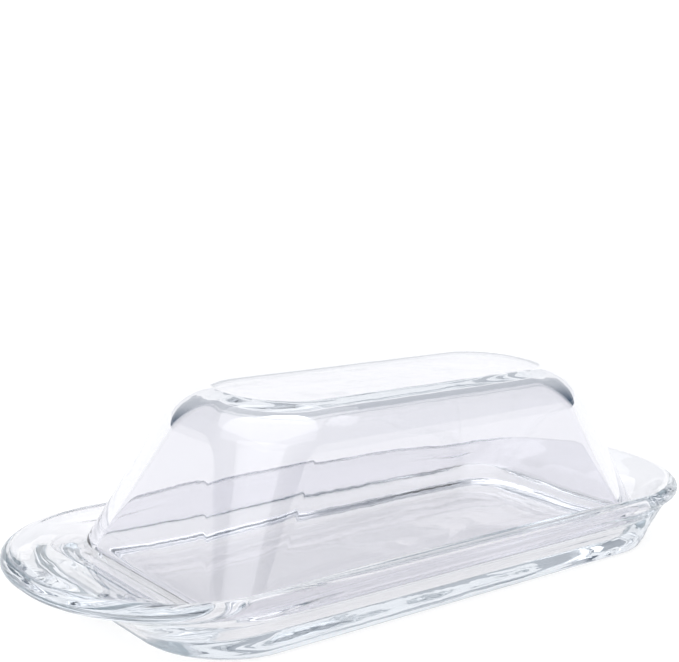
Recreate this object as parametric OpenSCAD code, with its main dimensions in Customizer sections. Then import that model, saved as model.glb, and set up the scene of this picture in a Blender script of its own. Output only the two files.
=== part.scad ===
// Covered butter dish in clear pressed glass: an oblong dish with two handle ends, and a loose cover.
// Each piece is one section carried round a rounded rectangle, from ring to ring.
// Origin: centre of the foot plane. +X runs along the dish, +Z up, and the cover is shown seated.

/* [Cover] */
// Length of the cover at its rim
cover_l = 140; // [116:1:180]
// Width of the cover at its rim
cover_w = 65; // [54:1:84]
// Height of the cover from its rim to its top
cover_h = 40.5; // [34:0.5:60]
// Corner radius of the cover's rim
cover_r = 10; // [8:0.1:14]
// How much wider the corner radius is at the top than at the rim
cover_r_gain = 10; // [4:0.5:14]
// How far each end wall leans in over the whole height
end_lean = 13.3; // [6:0.1:18]
// How far each side wall leans in over the whole height
side_lean = 10; // [4:0.1:12]
// Radius of the shoulder between the walls and the top
shoulder_r = 8.2; // [5:0.1:10]
// Thickness of the cover's walls
wall_t = 3; // [2.4:0.1:4]
// Thickness of the cover's top
top_t = 3.8; // [3:0.1:6]

/* [Fit] */
// Clearance between the cover's rim and the wall around its seat
cover_gap = 0.5; // [0.3:0.1:1.5]
// Gap left under the cover's rim when it is seated
seat_gap = 0.1; // [0.05:0.05:0.3]
// Height of the seat above the table
seat_z = 7.6; // [6.4:0.1:9.2]
// Width of the flat ledge that the rim stands on
seat_w = 3; // [2.4:0.1:4]

/* [Dish] */
// Reach of each handle end beyond the seat
handle_l = 29.5; // [22:0.5:40]
// Glass outside the seat at the sides, where the dish is narrowest
side_t = 3.1; // [2.8:0.1:6]
// How much each side bows out at mid length
bow = 1.4; // [0:0.1:2.4]
// How much the side lips rise above the handle ends
arch = 1.4; // [0:0.1:2]
// Height of the handle ends
handle_z = 14.8; // [13.8:0.1:17]
// Radius of the rounded lip
lip_r = 1.9; // [1.3:0.1:2.3]
// Thickness of the glass under the floor
floor_t = 3.6; // [3:0.1:4.6]
// Depth of the hollow under the floor, inside the foot ring
foot_hollow = 0.5; // [0.2:0.1:0.8]
// Width of the foot ring
foot_w = 6; // [4:0.5:8]
// Glass outside the seat at the foot's ends
foot_end_t = 8.2; // [6:0.1:12]
// Glass outside the seat at the foot's sides
foot_side_t = 1.5; // [1:0.1:2.5]
// Corner radius of the foot
foot_r = 21; // [14:0.5:26]

/* [Hidden] */
glass = [0.84, 0.88, 0.93, 0.45];
// Points on a quarter of each ring: along the short side, round the corner, along the long side
SHORT_N = 2;
CORNER_N = 8;
LONG_N = 8;
QUARTER_N = SHORT_N + CORNER_N + LONG_N;
RING_N = 4 * QUARTER_N;
ARC_N = 4;

// The cover's rim and the seat around it, as half sizes
ca = cover_l / 2;
cb = cover_w / 2;
sa = ca + cover_gap;
sb = cb + cover_gap;
sr = cover_r + cover_gap;
// The dish's tip, its narrowest half width and its foot
da = sa + handle_l;
db = sb + side_t;
fa = sa + foot_end_t;
fb = sb + foot_side_t;
// The level of the lip's middle line at the ends, and the ring where the handle's top turns down
lip_z = handle_z - lip_r;
fold_a = sa + 0.5 * handle_l;
crease_a = sa + 0.7 * handle_l;
// The bow and the arch fade out between these distances from mid length
bow_from = 0.43 * sa;
bow_to = 0.88 * sa;
// The cover's rim is as round as its wall allows
rim_r = wall_t / 2;

// 1 at mid length, easing to 0 towards the handle ends
function swell(x) =
    let (t = min(1, max(0, (abs(x) - bow_from) / (bow_to - bow_from)))) 0.5 + 0.5 * cos(180 * t);

// Point t of a quarter of a rounded rectangle, from the middle of its short side to the middle of its long one
function quarter(a, b, r, t) =
    let (g = 90 * (t - SHORT_N) / CORNER_N)
    t < SHORT_N ? [a, (b - r) * t / SHORT_N] :
    t <= SHORT_N + CORNER_N ? [a - r + r * cos(g), b - r + r * sin(g)] :
    [(a - r) * (QUARTER_N - t) / LONG_N, b];

// Point k of a whole rounded rectangle, anticlockwise from the middle of the +X side
function around(a, b, r, k) =
    let (q = floor(k / QUARTER_N), j = k - q * QUARTER_N)
    let (p = quarter(a, b, min(r, b - 0.4), q % 2 == 0 ? j : QUARTER_N - j))
    [(q == 0 || q == 3) ? p[0] : -p[0], q < 2 ? p[1] : -p[1]];

// A ring is [half length, half width, corner radius, height, share of the arch, share of the bow]
function ring_points(s) = [
    for (k = [0:RING_N - 1])
        let (p = around(s[0], s[1], s[2], k), w = swell(p[0]))
        [p[0], p[1] + sign(p[1]) * s[5] * bow * w, s[3] + s[4] * arch * w]
];

// The middle of a flat ring, where the triangles that close it meet
function middle(s) = [0, 0, s[3]];

// One closed solid through a list of rings, with its first and last rings closed by flat fans
module shell(rings) {
    n = len(rings);
    first = n * RING_N;
    last = first + 1;
    top = (n - 1) * RING_N;
    points = concat([for (s = rings) each ring_points(s)], [middle(rings[0]), middle(rings[n - 1])]);
    faces = [
        for (k = [0:RING_N - 1])
            let (j = (k + 1) % RING_N)
            each concat(
                [[first, k, j], [last, top + j, top + k]],
                [
                    for (i = [0:n - 2])
                        let (lo = i * RING_N, hi = lo + RING_N)
                        each [[lo + k, hi + k, hi + j], [lo + k, hi + j, lo + j]]
                ]
            )
    ];
    polyhedron(points = points, faces = faces, convexity = 6);
}

// The dish's section starts under its floor: the hollow, the foot ring and the foot's outer wall
hollow_slope = 0.8;
hollow_in = foot_w + hollow_slope;
foot_edge = 1.4;
foot_bottom = [
    [fa - hollow_in, fb - hollow_in, foot_r - hollow_in, foot_hollow, 0, 0],
    [fa - foot_w, fb - foot_w, foot_r - foot_w, 0, 0, 0],
    for (i = [0:ARC_N])
        let (g = 90 * i / ARC_N, d = foot_edge * (1 - sin(g)))
        [fa - d, fb - d, foot_r - d, foot_edge * (1 - cos(g)), 0, 0]
];
// Then the outer wall flares out, most of all at the ends, into the underside of the handles and up to the lip
reach = da - fa;
lip_low = lip_z - lip_r - 0.1;
underside = [
    [fa + 0.05 * reach, fb + 0.4, foot_r + 0.5, 0.2 * lip_z, 0, 0],
    [fa + 0.12 * reach, fb + 0.6, foot_r + 1.2, 0.36 * lip_z, 0, 0],
    [fa + 0.27 * reach, fb + 0.8, foot_r + 3, 0.53 * lip_z, 0.1, 0],
    [fa + 0.5 * reach, fb + 1, foot_r + 7, 0.69 * lip_z, 0.4, 0.1],
    [fa + 0.77 * reach, db - 0.5, 0.93 * db, lip_low - 0.6, 0.8, 0.5]
];
// The rounded lip, from the angle where the underside meets it to its top
lip = [
    for (g = [-60:30:90])
        [da - lip_r * (1 - cos(g)), db - lip_r * (1 - cos(g)), db - lip_r, lip_z + lip_r * sin(g), 1, 1]
];
// The top of the handles: nearly level to the crease, then a slope that steepens past the fold.
// The cove at its foot follows the cover's rim, and at the sides it is the foot of the wall
seat_cove = rim_r + cover_gap;
crease_b = min(sb + 0.3 * side_t, db - lip_r - 0.2);
slope_drop = handle_z - 0.55 - seat_z - seat_cove;
handle_top = [
    [crease_a, crease_b, 0.72 * db, handle_z - 0.55, 0.6, 0.8],
    [fold_a, sb + 0.35, sr + 9, seat_z + seat_cove + 0.82 * slope_drop, 0.35, 0.5],
    [sa + 0.34 * (fold_a - sa) + 3.5, sb + 0.25, sr + 5, seat_z + seat_cove + 0.42 * slope_drop, 0.15, 0.2],
    for (i = [0:3])
        let (g = 90 * i / 3, h = seat_cove * (1 - sin(g)))
        [sa - 0.6 + 2 * h, sb - seat_cove * (1 - cos(g)), sr + h, seat_z + h, 0, 0]
];
// The seat, its rounded inner edge, and the curve from there down to the floor of the well.
// The ledge is never so narrow that the cove would run past it
ledge_w = max(seat_w, seat_cove + 0.4);
seat_drop = seat_z - floor_t;
seat_edge = 0.5;
well_curve = 4.2;
seat = [
    [sa - ledge_w, sb - ledge_w, sr - 2, seat_z, 0, 0],
    for (i = [0:ARC_N])
        let (g = 90 * i / ARC_N, d = ledge_w + 0.8 + well_curve * (1 - cos(g)))
        [sa - d, sb - d, sr - 2 + 0.6 * i, floor_t + (seat_drop - seat_edge) * (1 - sin(g)), 0, 0]
];

module dish() {
    color(glass) shell(concat(foot_bottom, underside, lip, handle_top, seat));
}

// The cover's section starts at its ceiling: inner wall going down, round rim, outer wall going up, top.
// A ring at height z over the rim, set in by d, leans in from the level where the rim is widest
function cover_ring(z, d) =
    let (u = max(0, z - rim_r) / (cover_h - rim_r), r = cover_r + cover_r_gain * u - 0.6 * d)
    [ca - d - end_lean * u, cb - d - side_lean * u, r, seat_z + seat_gap + z, 0, 0];
SHOULDER_N = 5;
WALL_N = 4;
// The ceiling's own shoulder is tighter than the outer one, which leaves the glass thick there
ceiling_r = shoulder_r - 0.6 * wall_t;
ceiling_z = cover_h - top_t;
function shoulder(top_z, r, d, i) =
    let (g = 90 * i / SHOULDER_N) cover_ring(top_z - r + r * sin(g), d + r * (1 - cos(g)));
function wall(top_z, d, i) = cover_ring(rim_r + (top_z - rim_r) * i / WALL_N, d);
cover_inside = [
    for (i = [SHOULDER_N:-1:0]) shoulder(ceiling_z, ceiling_r, wall_t, i),
    for (i = [WALL_N - 1:-1:1]) wall(ceiling_z - ceiling_r, wall_t, i)
];
cover_rim = [
    for (g = [0:180 / (2 * ARC_N):180]) cover_ring(rim_r * (1 - sin(g)), rim_r * (1 + cos(g)))
];
cover_outside = [
    for (i = [1:WALL_N - 1]) wall(cover_h - shoulder_r, 0, i),
    for (i = [0:SHOULDER_N]) shoulder(cover_h, shoulder_r, 0, i)
];

module cover() {
    color(glass) shell(concat(cover_inside, cover_rim, cover_outside));
}

dish();
cover();
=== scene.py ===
import math

import bpy
import numpy as np
from mathutils import Matrix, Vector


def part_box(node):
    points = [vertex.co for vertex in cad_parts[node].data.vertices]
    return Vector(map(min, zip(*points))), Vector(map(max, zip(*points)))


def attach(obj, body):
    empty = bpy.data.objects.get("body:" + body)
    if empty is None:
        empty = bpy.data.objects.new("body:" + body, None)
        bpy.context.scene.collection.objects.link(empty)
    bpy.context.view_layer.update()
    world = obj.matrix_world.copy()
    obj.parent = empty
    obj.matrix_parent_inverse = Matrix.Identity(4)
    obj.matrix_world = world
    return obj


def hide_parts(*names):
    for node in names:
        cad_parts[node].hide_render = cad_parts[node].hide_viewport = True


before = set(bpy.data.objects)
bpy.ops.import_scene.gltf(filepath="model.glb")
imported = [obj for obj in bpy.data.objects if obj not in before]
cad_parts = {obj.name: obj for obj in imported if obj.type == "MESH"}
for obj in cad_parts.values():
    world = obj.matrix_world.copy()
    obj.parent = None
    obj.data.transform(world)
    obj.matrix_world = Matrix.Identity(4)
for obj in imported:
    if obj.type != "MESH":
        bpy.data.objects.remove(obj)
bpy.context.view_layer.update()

# --- Camera -----------------------------------------------------------------------------------------------
# A long-lens studio camera, a little above the dish and off its near left corner.
MM = 0.001
camera_place = (-222.5 * MM, -239.5 * MM, 117 * MM)
camera_turn, camera_dip, camera_roll = math.radians(40.7), math.radians(10.2), math.radians(3.0)
camera = bpy.data.objects.new("camera", bpy.data.cameras.new("camera"))
camera.data.lens = 70.7
camera.data.sensor_width = 36
camera.data.clip_start = 0.02
camera.matrix_world = (
    Matrix.Translation(camera_place)
    @ Matrix.Rotation(-camera_turn, 4, "Z")
    @ Matrix.Rotation(math.pi / 2 - camera_dip, 4, "X")
    @ Matrix.Rotation(camera_roll, 4, "Z")
)
bpy.context.scene.collection.objects.link(camera)
bpy.context.scene.camera = camera

# --- Floor and light --------------------------------------------------------------------------------------
# A white studio table whose far edges curve up all round, under one big overhead softbox and a second one
# at the front left. The room behind shows only between them, and draws the edges of the glass.
bpy.context.scene.view_settings.view_transform = "Standard"
# Light runs along inside the walls and the lip for many reflections before it leaves
for bounces in ("max_bounces", "transmission_bounces", "glossy_bounces"):
    setattr(bpy.context.scene.cycles, bounces, 32)


class Wire:
    """A socket of a node tree. Arithmetic on wires and numbers adds the Math node that does it."""

    def __init__(self, tree, socket):
        self.tree, self.socket = tree, socket

    def node(self, kind, settings, **inputs):
        """A new node of that kind: its settings are set first, then its inputs filled or linked.

        An input is named as on the node with _ for a space, or as _0, _1 and so on by its place.
        """
        made = self.tree.nodes.new(kind)
        for key, value in settings.items():
            setattr(made, key, value)
        for key, value in inputs.items():
            socket = made.inputs[int(key[1:])] if key[0] == "_" else made.inputs[key.replace("_", " ")]
            if isinstance(value, Wire):
                self.tree.links.new(value.socket, socket)
            else:
                socket.default_value = value
        return made

    def math(self, operation, *values):
        made = self.node("ShaderNodeMath", {"operation": operation}, **{f"_{i}": v for i, v in enumerate(values)})
        return Wire(self.tree, made.outputs[0])

    def __add__(self, other): return self.math("ADD", self, other)
    def __mul__(self, other): return self.math("MULTIPLY", self, other)
    def __abs__(self): return self.math("ABSOLUTE", self)
    __radd__, __rmul__ = __add__, __mul__


# The room is pale in front and behind, and falls to dark blue at the left and right of the set: the size of
# a direction's part along set_left goes from pale at pale_until to dark at dark_from, on a smooth step
room = bpy.data.worlds.new("room")
bpy.context.scene.world = room
room.use_nodes = True
tree = room.node_tree
direction = Wire(tree, tree.nodes.new("ShaderNodeTexCoord").outputs["Generated"])
set_left, pale_until, dark_from = (0.76, -0.65, 0), 0.3, 0.75
pale_room, dark_room = (0.58, 0.61, 0.65, 1), (0.015, 0.055, 0.11, 1)
sideways = abs(Wire(tree, direction.node("ShaderNodeVectorMath", {"operation": "DOT_PRODUCT"},
                                         _0=direction, _1=set_left).outputs["Value"]))
falling = direction.node("ShaderNodeMapRange", {"interpolation_type": "SMOOTHSTEP"},
                         Value=sideways, From_Min=pale_until, From_Max=dark_from)
walls = direction.node("ShaderNodeMix", {"data_type": "RGBA"}, _0=Wire(tree, falling.outputs["Result"]),
                       _6=pale_room, _7=dark_room)
tree.links.new(walls.outputs[2], tree.nodes["Background"].inputs["Color"])


def grid_object(name, points, closed_ends):
    """An object from rings of points, shape (rings, points a ring, 3).

    Each ring closes on itself. Quads join each ring to the next, and a fan round the middle point closes the
    first ring, and the last one too if closed_ends says so.
    """
    rings, around = points.shape[:2]
    index = np.arange(rings * around).reshape(rings, around)
    after = np.roll(index, -1, axis=1)
    # These corners run anticlockwise seen from outside, for rings that start on a face looking down
    quads = np.stack([index[:-1], after[:-1], after[1:], index[1:]], axis=-1).reshape(-1, 4)
    middles = [points[0].mean(axis=0)] + ([points[-1].mean(axis=0)] if closed_ends else [])
    first = rings * around
    fans = [np.stack([np.full(around, first), after[0], index[0]], axis=-1)]
    if closed_ends:
        fans.append(np.stack([np.full(around, first + 1), index[-1], after[-1]], axis=-1))
    fans = np.concatenate(fans)
    mesh = bpy.data.meshes.new(name)
    verts = np.concatenate([points.reshape(-1, 3), np.array(middles)]) * MM
    corners = np.concatenate([quads.ravel(), fans.ravel()])
    starts = np.concatenate([np.arange(len(quads)) * 4, len(quads) * 4 + np.arange(len(fans)) * 3])
    mesh.vertices.add(len(verts))
    mesh.vertices.foreach_set("co", verts.ravel().astype(np.float32))
    mesh.loops.add(len(corners))
    mesh.loops.foreach_set("vertex_index", corners.astype(np.int32))
    mesh.polygons.add(len(starts))
    mesh.polygons.foreach_set("loop_start", starts.astype(np.int32))
    mesh.polygons.foreach_set("use_smooth", np.ones(len(starts), dtype=bool))
    mesh.update(calc_edges=True)
    mesh.validate()
    piece = bpy.data.objects.new(name, mesh)
    bpy.context.scene.collection.objects.link(piece)
    return piece


table_flat, table_curve, table_rise, table_drop = 800, 500, 420, 0.05
table_turn = np.linspace(0, 2 * np.pi, 96, endpoint=False)
table_sweep = np.arccos(1 - np.linspace(0, table_rise, 16)[1:] / table_curve)
table_reach = np.concatenate([[40, 200, 400, 600, table_flat], table_flat + table_curve * np.sin(table_sweep)])
table_height = np.concatenate([np.zeros(5), table_curve * (1 - np.cos(table_sweep))]) - table_drop
table = grid_object("studio_table", np.stack([
    table_reach[:, None] * np.cos(table_turn),
    table_reach[:, None] * np.sin(table_turn),
    np.broadcast_to(table_height[:, None], (len(table_reach), len(table_turn))),
], axis=-1)[:, ::-1], closed_ends=False)
paper = bpy.data.materials.new("white_paper")
paper.use_nodes = True
for socket, value in {"Base Color": (0.3, 0.3, 0.3, 1), "Emission Color": (1, 1, 1, 1),
                      "Emission Strength": 0.8, "Roughness": 0.9, "Specular IOR Level": 0.1}.items():
    paper.node_tree.nodes["Principled BSDF"].inputs[socket].default_value = value
table.data.materials.append(paper)


def softbox(name, place, aim, width, depth, power):
    """A rectangular lamp of that width and depth in metres and power in watts, at place, pointing at aim."""
    lamp = bpy.data.objects.new(name, bpy.data.lights.new(name, "AREA"))
    lamp.data.shape, lamp.data.size, lamp.data.size_y, lamp.data.energy = "RECTANGLE", width, depth, power
    away = np.array(place, dtype=float) - np.array(aim, dtype=float)
    away /= np.linalg.norm(away)
    side = np.cross((0, 0, 1), away) if abs(away[2]) < 0.99 else np.array((1.0, 0, 0))
    side /= np.linalg.norm(side)
    axes = np.stack([side, np.cross(away, side), away], axis=1)
    lamp.matrix_world = Matrix.Translation(place) @ Matrix(axes.tolist()).to_4x4()
    bpy.context.scene.collection.objects.link(lamp)
    return lamp


softbox("top_softbox", place=(0.1, 0.15, 1.3), aim=(0, 0, 0), width=1.8, depth=1.8, power=13)
softbox("front_softbox", place=(-0.8, -0.6, 0.8), aim=(0, 0, 0.03), width=1.4, depth=1.0, power=5)

# --- Dish -------------------------------------------------------------------------------------------------
# One oblong piece of clear glass, pressed in a mould and fire polished: a well with a seat for the cover's
# rim, a rounded lip that rises along the sides, a broad handle at each end and a hollow foot underneath.
_, dish_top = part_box("dish")
cover_low, cover_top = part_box("cover")
tip, side, lip_top = (v / MM for v in dish_top)
rim_half_length, rim_half_width, rim_level = cover_top[0] / MM, cover_top[1] / MM, cover_low[2] / MM

SHORT_SIDE, CORNER, LONG_SIDE = 10, 46, 40
bow, arch = 1.4, 1.4
bow_from, bow_to = 30, 62
# The seat's side walls stand the clearance outside the widest part of the cover's rim. Below it the cove
# closes in, and at the ends the slope starts nearer and runs out further
clearance, rim_corner = 0.5, 10
seat_a, seat_b, seat_r = rim_half_length + clearance, rim_half_width + clearance, rim_corner + clearance
dish_b = side - bow


def round_a_corner():
    """For one quarter turn, the share of the way to the corner's centre in x and y, and the corner's angle."""
    cx = np.concatenate([np.ones(SHORT_SIDE + CORNER), np.linspace(1, 0, LONG_SIDE, endpoint=False)])
    cy = np.concatenate([np.linspace(0, 1, SHORT_SIDE, endpoint=False), np.ones(CORNER + LONG_SIDE)])
    angle = np.concatenate([
        np.zeros(SHORT_SIDE), np.linspace(0, np.pi / 2, CORNER, endpoint=False), np.full(LONG_SIDE, np.pi / 2)])
    return cx, cy, np.cos(angle), np.sin(angle)


def round_the_rectangle():
    """The same shares all the way round, by mirroring the quarter: anticlockwise from the middle of the +X end."""
    cx, cy, kx, ky = round_a_corner()
    # The mirrored quarters run backwards, so each starts one step on
    back = lambda v, last: np.concatenate([[last], v[:0:-1]])
    cx2, cy2, kx2, ky2 = back(cx, 0), back(cy, 1), back(kx, 0), back(ky, 1)
    return (np.concatenate([cx, -cx2, -cx, cx2]), np.concatenate([cy, cy2, -cy, -cy2]),
            np.concatenate([kx, -kx2, -kx, kx2]), np.concatenate([ky, ky2, -ky, -ky2]))


def smooth_section(rings, step, spread):
    """Rings at an even step along a smooth curve through the given ones, with its tight corners melted round.

    The curve is a centripetal Catmull-Rom spline: between two rings it blends the three straight lines through
    the four nearest rings, and the knots are a square root of the distance apart. Each value is then averaged
    with its neighbours along the section by a bell curve of that spread. Past its ends the section is carried
    on as its own point reflection, so the ends stay put, and no height goes past
    the lowest or the highest ring.
    """
    rings = np.array(rings, dtype=float)
    rings = np.concatenate([[2 * rings[0] - rings[1]], rings, [2 * rings[-1] - rings[-2]]])
    gap = np.linalg.norm(np.diff(rings[:, [0, 1, 3]], axis=0), axis=1)
    knot = np.concatenate([[0], np.cumsum(np.sqrt(gap))])
    walked = np.concatenate([[0], np.cumsum(gap[1:-1])])
    spots = np.linspace(0, walked[-1], int(walked[-1] / step) + 1)
    i = np.clip(np.searchsorted(walked, spots, side="right") - 1, 0, len(walked) - 2)
    t = (knot[i + 1] + (knot[i + 2] - knot[i + 1]) * (spots - walked[i]) / (walked[i + 1] - walked[i]))[:, None]

    def line(p, q, start, end):
        t0, t1 = knot[i + start][:, None], knot[i + end][:, None]
        return (p * (t1 - t) + q * (t - t0)) / (t1 - t0)

    a = [line(rings[i + k], rings[i + k + 1], k, k + 1) for k in range(3)]
    even = line(line(a[0], a[1], 0, 2), line(a[1], a[2], 1, 3), 1, 2)
    reach = int(4 * spread / step) + 1
    padded = np.concatenate([2 * even[0] - even[reach:0:-1], even, 2 * even[-1] - even[-2:-reach - 2:-1]])
    bell = np.exp(-0.5 * (np.arange(-reach, reach + 1) * step / spread) ** 2)
    bell /= bell.sum()
    section = np.stack([np.convolve(column, bell, "valid") for column in padded.T], axis=1)
    section[:, 3] = np.clip(section[:, 3], rings[1:-1, 3].min(), rings[1:-1, 3].max())
    return section


def with_flats(rings):
    """The rings with scaled-down copies before the first and after the last, to carry both planes inwards."""
    shares = np.array([0.03, 0.15, 0.3, 0.45, 0.6, 0.75, 0.9])[:, None]
    first, last = rings[:1].repeat(len(shares), axis=0), rings[-1:].repeat(len(shares), axis=0)
    first[:, :3] *= shares
    last[:, :3] *= shares[::-1]
    return np.concatenate([first, rings, last])


def pressed_shell(rings):
    """Points of a shell: each ring is a rounded rectangle, lifted and widened towards mid length.

    A point is the share of the way to the corner's centre, plus the corner radius in the corner's direction.
    The lift and the bow fade out along x as half a cosine wave.
    """
    a, b, r, z, arched, bowed = (column[:, None] for column in rings.T)
    cx, cy, kx, ky = round_the_rectangle()
    r = np.minimum(r, b * 0.99)
    x = cx * (a - r) + kx * r
    y = cy * (b - r) + ky * r
    fade = np.clip((np.abs(x) - bow_from) / (bow_to - bow_from), 0, 1)
    swell = 0.5 + 0.5 * np.cos(np.pi * fade)
    return np.stack([x, y + np.sign(y) * bowed * bow * swell, z + arched * arch * swell], axis=-1)


lip_r, floor_level, seat_level, cove = 1.95, 3.6, 7.6, 2
foot_hollow, foot_edge, seat_width, well_curve, handle_dip = 0.5, 1.4, 3, 4.2, 0.55
handle_level = lip_top - arch
lip_level = handle_level - lip_r
foot_a, foot_b, foot_r, foot_width = seat_a + 8.2, seat_b + 1.5, 21, 6
reach = tip - foot_a
fold_a = seat_a + 14.75
slope_foot, slope_drop = seat_level + cove, handle_level - handle_dip - seat_level - cove
quarter_turn = np.radians(np.arange(0, 91, 15))
lip_turn = np.radians(np.arange(-60, 91, 15))
dish_rings = [
    # Under the floor: the hollow, the foot ring and its rounded edge
    (foot_a - foot_width - 3, foot_b - foot_width - 3, foot_r - foot_width - 3, foot_hollow, 0, 0),
    (foot_a - foot_width - 0.8, foot_b - foot_width - 0.8, foot_r - foot_width - 0.8, foot_hollow, 0, 0),
    (foot_a - foot_width, foot_b - foot_width, foot_r - foot_width, 0, 0, 0),
    *((foot_a - d, foot_b - d, foot_r - d, h, 0, 0)
      for d, h in zip(foot_edge * (1 - np.sin(quarter_turn)), foot_edge * (1 - np.cos(quarter_turn)))),
    # The outer wall, which flares out into the underside of the handles
    (foot_a + 0.05 * reach, foot_b + 0.4, foot_r + 0.5, 0.2 * lip_level, 0, 0),
    (foot_a + 0.12 * reach, foot_b + 0.6, foot_r + 1.2, 0.36 * lip_level, 0, 0),
    (foot_a + 0.27 * reach, foot_b + 0.8, foot_r + 3, 0.53 * lip_level, 0.1, 0),
    (foot_a + 0.5 * reach, foot_b + 1, foot_r + 7, 0.69 * lip_level, 0.4, 0.1),
    (foot_a + 0.77 * reach, dish_b - 0.5, 0.93 * dish_b, lip_level - lip_r - 0.7, 0.8, 0.5),
    # The rounded lip
    *((tip - d, dish_b - d, dish_b - lip_r, h, 1, 1)
      for d, h in zip(lip_r * (1 - np.cos(lip_turn)), lip_level + lip_r * np.sin(lip_turn))),
    # The top of the handles, the slope down to the seat, and the cove that follows the cover's rim
    (seat_a + 20.6, seat_b + 0.9, 0.72 * dish_b, handle_level - handle_dip, 0.6, 0.8),
    (fold_a, seat_b + 0.35, seat_r + 9, slope_foot + 0.82 * slope_drop, 0.35, 0.5),
    (seat_a + 8.5, seat_b + 0.25, seat_r + 5, slope_foot + 0.42 * slope_drop, 0.15, 0.2),
    *((seat_a - 0.6 + 2 * h, seat_b - cove * (1 - c), seat_r + h, seat_level + h, 0, 0)
      for h, c in zip(cove * (1 - np.sin(quarter_turn)), np.cos(quarter_turn))),
    # The seat, and the curve down to the floor
    (seat_a - seat_width, seat_b - seat_width, seat_r - 2, seat_level, 0, 0),
    *((seat_a - d, seat_b - d, seat_r - 2 + g, h, 0, 0)
      for d, g, h in zip(seat_width + 0.8 + well_curve * (1 - np.cos(quarter_turn)),
                         2.4 * quarter_turn / quarter_turn[-1],
                         floor_level + 3.5 * (1 - np.sin(quarter_turn)))),
    (seat_a - 11, seat_b - 11, seat_r - 2, floor_level, 0, 0),
]
dish_points = pressed_shell(with_flats(smooth_section(dish_rings, step=0.5, spread=0.8)))
dish = grid_object("glass_dish", dish_points, closed_ends=True)

# The glass: clear, very slightly grey-lilac, a little deeper blue-green where it is thick, with the soft
# ripple of the mould and the faint smears of fire polishing
glass = bpy.data.materials.new("clear_pressed_glass")
glass.use_nodes = True
tree = glass.node_tree
surface = tree.nodes["Principled BSDF"]
place = Wire(tree, tree.nodes.new("ShaderNodeTexCoord").outputs["Object"])
ripple = Wire(tree, place.node("ShaderNodeTexNoise", {}, Vector=place, Scale=38.0, Detail=1.0).outputs[0])
smear = Wire(tree, place.node("ShaderNodeTexNoise", {}, Vector=place, Scale=95.0, Detail=3.0).outputs[0])
height = ripple + 0.12 * smear
bump = place.node("ShaderNodeBump", {}, Height=height, Strength=0.25, Distance=0.0012)
tree.links.new(bump.outputs["Normal"], surface.inputs["Normal"])
tree.links.new((0.012 * smear).socket, surface.inputs["Roughness"])
surface.inputs["Base Color"].default_value = (0.905, 0.9, 0.925, 1)
surface.inputs["IOR"].default_value = 1.5
surface.inputs["Transmission Weight"].default_value = 1.0
depth_tint = tree.nodes.new("ShaderNodeVolumeAbsorption")
depth_tint.inputs["Color"].default_value = (0.52, 0.64, 0.7, 1)
depth_tint.inputs["Density"].default_value = 5.0
tree.links.new(depth_tint.outputs[0], tree.nodes["Material Output"].inputs["Volume"])
dish.data.materials.append(glass)
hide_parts("dish")
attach(dish, "dish")

# --- Cover ------------------------------------------------------------------------------------------------
# A loose cover pressed from the same glass. Its walls lean in to a flat top, the glass is thickest in the
# shoulder round the top, and its plain round rim stands on the seat inside the dish.
cover_high = cover_top[2] / MM - rim_level
wall, top_thick, shoulder_r = 3, 3.8, 8.2
end_lean, side_lean, corner_gain = 13.3, 10, 10
rim_r = wall / 2


def lean_in(height, inset):
    """Rings at heights over the rim: both half sizes lean in evenly above the rim, and the corners widen."""
    height, inset = np.broadcast_arrays(height, inset)
    share = np.maximum(0, height - rim_r) / (cover_high - rim_r)
    return np.stack([
        rim_half_length - inset - end_lean * share, rim_half_width - inset - side_lean * share,
        rim_corner + corner_gain * share - 0.6 * inset, rim_level + height, 0 * share, 0 * share], axis=1)


bend = np.radians(np.arange(0, 91, 10))
ceiling_r = shoulder_r - 0.6 * wall
ceiling = cover_high - top_thick
cover_rings = np.concatenate([
    lean_in(np.array([ceiling]), wall + ceiling_r + 3.0),
    lean_in(ceiling - ceiling_r + ceiling_r * np.sin(bend[::-1]), wall + ceiling_r * (1 - np.cos(bend[::-1]))),
    lean_in(np.linspace(ceiling - ceiling_r, rim_r, 6)[1:-1], wall),
    lean_in(rim_r * (1 - np.sin(2 * bend)), rim_r * (1 + np.cos(2 * bend))),
    lean_in(np.linspace(rim_r, cover_high - shoulder_r, 6)[1:-1], 0),
    lean_in(cover_high - shoulder_r + shoulder_r * np.sin(bend), shoulder_r * (1 - np.cos(bend))),
    lean_in(np.array([cover_high]), shoulder_r + 3.0),
])
cover_points = pressed_shell(with_flats(smooth_section(cover_rings, step=0.55, spread=0.5)))
cover = grid_object("glass_cover", cover_points, closed_ends=True)
cover.data.materials.append(glass)
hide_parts("cover")
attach(cover, "cover")
